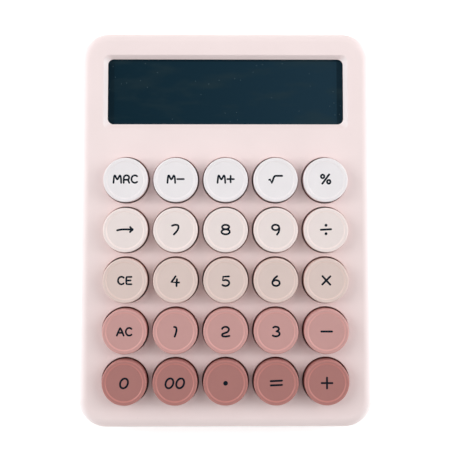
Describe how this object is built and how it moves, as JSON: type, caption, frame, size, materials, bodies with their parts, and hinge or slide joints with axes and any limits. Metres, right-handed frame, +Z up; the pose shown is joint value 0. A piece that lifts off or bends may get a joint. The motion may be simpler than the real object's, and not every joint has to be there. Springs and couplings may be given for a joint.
{
  "type": "desk calculator",
  "caption": "Wedge-shaped desk calculator with a recessed display window and round keys in rows that shade from white to dusty rose.",
  "frame": {"origin": "on the resting plane, below the middle of the body's outline", "axes": "+X to the right, +Y toward the display end, +Z up; the deck rises 4 degrees toward +Y"},
  "size_m": [0.13, 0.1762, 0.0307],
  "materials": {
    "case_shell": "fine moulded satin, pale pink",
    "case_base": "fine moulded satin, pale pink",
    "window_smoke": "polished, dark tinted",
    "tape_black": "thin foam tape",
    "key_white": "satin moulded, white",
    "key_blush": "satin moulded, very pale pink",
    "key_sand": "satin moulded, sand pink",
    "key_dusty": "satin moulded, dusty pink",
    "key_rose": "satin moulded, dusty rose",
    "silicone": "translucent silicone",
    "carbon_rubber": "matt conductive rubber",
    "pad_gold": "thin plated",
    "board_green": "solder mask over traces",
    "steel": "nickel plated",
    "chip_resin": "poured resin",
    "chip_ceramic": "fired ceramic",
    "can_sleeve": "shrunk sleeve",
    "cell_glass": "clear glass",
    "cell_film": "grey film",
    "cell_reflector": "brushed foil",
    "connector_rubber": "layered silicone",
    "holder_white": "moulded satin",
    "battery_sleeve": "printed sleeve without marks",
    "lead_red": "PVC insulation",
    "lead_black": "PVC insulation",
    "foot_rubber": "matt rubber"
  },
  "bodies": {
    "case": {"top_case": "case_shell", "bottom_case": "case_base", "display_window": "window_smoke", "window_tape": "tape_black", "dome_mat": "silicone", "contact_pills": "carbon_rubber", "contact_pads": "pad_gold", "main_board": "board_green", "board_screws": "steel", "sealed_chip": "chip_resin", "chip_capacitors": "chip_ceramic", "storage_capacitor": "can_sleeve", "front_glass": "cell_glass", "rear_glass": "cell_glass", "front_polariser": "cell_film", "reflector": "cell_reflector", "connector_strip": "connector_rubber", "display_holder": "holder_white", "holder_screws": "steel", "battery": "battery_sleeve", "battery_spring": "steel", "battery_plate": "steel", "red_lead": "lead_red", "black_lead": "lead_black", "case_screws": "steel", "rubber_feet": "foot_rubber"},
    "battery_cover": {"battery_cover": "case_base"},
    "key_mrc": {"key_mrc": "key_white"},
    "key_m_minus": {"key_m_minus": "key_white"},
    "key_m_plus": {"key_m_plus": "key_white"},
    "key_sqrt": {"key_sqrt": "key_white"},
    "key_percent": {"key_percent": "key_white"},
    "key_arrow": {"key_arrow": "key_blush"},
    "key_7": {"key_7": "key_blush"},
    "key_8": {"key_8": "key_blush"},
    "key_9": {"key_9": "key_blush"},
    "key_divide": {"key_divide": "key_blush"},
    "key_ce": {"key_ce": "key_sand"},
    "key_4": {"key_4": "key_sand"},
    "key_5": {"key_5": "key_sand"},
    "key_6": {"key_6": "key_sand"},
    "key_multiply": {"key_multiply": "key_sand"},
    "key_ac": {"key_ac": "key_dusty"},
    "key_1": {"key_1": "key_dusty"},
    "key_2": {"key_2": "key_dusty"},
    "key_3": {"key_3": "key_dusty"},
    "key_minus": {"key_minus": "key_dusty"},
    "key_0": {"key_0": "key_rose"},
    "key_00": {"key_00": "key_rose"},
    "key_point": {"key_point": "key_rose"},
    "key_equals": {"key_equals": "key_rose"},
    "key_plus": {"key_plus": "key_rose"}
  },
  "joints": [
    {"name": "press_mrc", "type": "slide", "parent": "case", "child": "key_mrc", "axis": [0, 0.0698, -0.9976], "range_m": [0, 0.0025], "stiffness_N_per_m": 250, "springref_m": -0.0008, "deforming": ["dome_mat", "contact_pills"]},
    {"name": "press_m_minus", "type": "slide", "parent": "case", "child": "key_m_minus", "axis": [0, 0.0698, -0.9976], "range_m": [0, 0.0025], "stiffness_N_per_m": 250, "springref_m": -0.0008, "deforming": ["dome_mat", "contact_pills"]},
    {"name": "press_m_plus", "type": "slide", "parent": "case", "child": "key_m_plus", "axis": [0, 0.0698, -0.9976], "range_m": [0, 0.0025], "stiffness_N_per_m": 250, "springref_m": -0.0008, "deforming": ["dome_mat", "contact_pills"]},
    {"name": "press_sqrt", "type": "slide", "parent": "case", "child": "key_sqrt", "axis": [0, 0.0698, -0.9976], "range_m": [0, 0.0025], "stiffness_N_per_m": 250, "springref_m": -0.0008, "deforming": ["dome_mat", "contact_pills"]},
    {"name": "press_percent", "type": "slide", "parent": "case", "child": "key_percent", "axis": [0, 0.0698, -0.9976], "range_m": [0, 0.0025], "stiffness_N_per_m": 250, "springref_m": -0.0008, "deforming": ["dome_mat", "contact_pills"]},
    {"name": "press_arrow", "type": "slide", "parent": "case", "child": "key_arrow", "axis": [0, 0.0698, -0.9976], "range_m": [0, 0.0025], "stiffness_N_per_m": 250, "springref_m": -0.0008, "deforming": ["dome_mat", "contact_pills"]},
    {"name": "press_7", "type": "slide", "parent": "case", "child": "key_7", "axis": [0, 0.0698, -0.9976], "range_m": [0, 0.0025], "stiffness_N_per_m": 250, "springref_m": -0.0008, "deforming": ["dome_mat", "contact_pills"]},
    {"name": "press_8", "type": "slide", "parent": "case", "child": "key_8", "axis": [0, 0.0698, -0.9976], "range_m": [0, 0.0025], "stiffness_N_per_m": 250, "springref_m": -0.0008, "deforming": ["dome_mat", "contact_pills"]},
    {"name": "press_9", "type": "slide", "parent": "case", "child": "key_9", "axis": [0, 0.0698, -0.9976], "range_m": [0, 0.0025], "stiffness_N_per_m": 250, "springref_m": -0.0008, "deforming": ["dome_mat", "contact_pills"]},
    {"name": "press_divide", "type": "slide", "parent": "case", "child": "key_divide", "axis": [0, 0.0698, -0.9976], "range_m": [0, 0.0025], "stiffness_N_per_m": 250, "springref_m": -0.0008, "deforming": ["dome_mat", "contact_pills"]},
    {"name": "press_ce", "type": "slide", "parent": "case", "child": "key_ce", "axis": [0, 0.0698, -0.9976], "range_m": [0, 0.0025], "stiffness_N_per_m": 250, "springref_m": -0.0008, "deforming": ["dome_mat", "contact_pills"]},
    {"name": "press_4", "type": "slide", "parent": "case", "child": "key_4", "axis": [0, 0.0698, -0.9976], "range_m": [0, 0.0025], "stiffness_N_per_m": 250, "springref_m": -0.0008, "deforming": ["dome_mat", "contact_pills"]},
    {"name": "press_5", "type": "slide", "parent": "case", "child": "key_5", "axis": [0, 0.0698, -0.9976], "range_m": [0, 0.0025], "stiffness_N_per_m": 250, "springref_m": -0.0008, "deforming": ["dome_mat", "contact_pills"]},
    {"name": "press_6", "type": "slide", "parent": "case", "child": "key_6", "axis": [0, 0.0698, -0.9976], "range_m": [0, 0.0025], "stiffness_N_per_m": 250, "springref_m": -0.0008, "deforming": ["dome_mat", "contact_pills"]},
    {"name": "press_multiply", "type": "slide", "parent": "case", "child": "key_multiply", "axis": [0, 0.0698, -0.9976], "range_m": [0, 0.0025], "stiffness_N_per_m": 250, "springref_m": -0.0008, "deforming": ["dome_mat", "contact_pills"]},
    {"name": "press_ac", "type": "slide", "parent": "case", "child": "key_ac", "axis": [0, 0.0698, -0.9976], "range_m": [0, 0.0025], "stiffness_N_per_m": 250, "springref_m": -0.0008, "deforming": ["dome_mat", "contact_pills"]},
    {"name": "press_1", "type": "slide", "parent": "case", "child": "key_1", "axis": [0, 0.0698, -0.9976], "range_m": [0, 0.0025], "stiffness_N_per_m": 250, "springref_m": -0.0008, "deforming": ["dome_mat", "contact_pills"]},
    {"name": "press_2", "type": "slide", "parent": "case", "child": "key_2", "axis": [0, 0.0698, -0.9976], "range_m": [0, 0.0025], "stiffness_N_per_m": 250, "springref_m": -0.0008, "deforming": ["dome_mat", "contact_pills"]},
    {"name": "press_3", "type": "slide", "parent": "case", "child": "key_3", "axis": [0, 0.0698, -0.9976], "range_m": [0, 0.0025], "stiffness_N_per_m": 250, "springref_m": -0.0008, "deforming": ["dome_mat", "contact_pills"]},
    {"name": "press_minus", "type": "slide", "parent": "case", "child": "key_minus", "axis": [0, 0.0698, -0.9976], "range_m": [0, 0.0025], "stiffness_N_per_m": 250, "springref_m": -0.0008, "deforming": ["dome_mat", "contact_pills"]},
    {"name": "press_0", "type": "slide", "parent": "case", "child": "key_0", "axis": [0, 0.0698, -0.9976], "range_m": [0, 0.0025], "stiffness_N_per_m": 250, "springref_m": -0.0008, "deforming": ["dome_mat", "contact_pills"]},
    {"name": "press_00", "type": "slide", "parent": "case", "child": "key_00", "axis": [0, 0.0698, -0.9976], "range_m": [0, 0.0025], "stiffness_N_per_m": 250, "springref_m": -0.0008, "deforming": ["dome_mat", "contact_pills"]},
    {"name": "press_point", "type": "slide", "parent": "case", "child": "key_point", "axis": [0, 0.0698, -0.9976], "range_m": [0, 0.0025], "stiffness_N_per_m": 250, "springref_m": -0.0008, "deforming": ["dome_mat", "contact_pills"]},
    {"name": "press_equals", "type": "slide", "parent": "case", "child": "key_equals", "axis": [0, 0.0698, -0.9976], "range_m": [0, 0.0025], "stiffness_N_per_m": 250, "springref_m": -0.0008, "deforming": ["dome_mat", "contact_pills"]},
    {"name": "press_plus", "type": "slide", "parent": "case", "child": "key_plus", "axis": [0, 0.0698, -0.9976], "range_m": [0, 0.0025], "stiffness_N_per_m": 250, "springref_m": -0.0008, "deforming": ["dome_mat", "contact_pills"]},
    {"name": "cover_slide", "type": "slide", "parent": "case", "child": "battery_cover", "axis": [0, 1, 0], "range_m": [0, 0.016]}
  ]
}
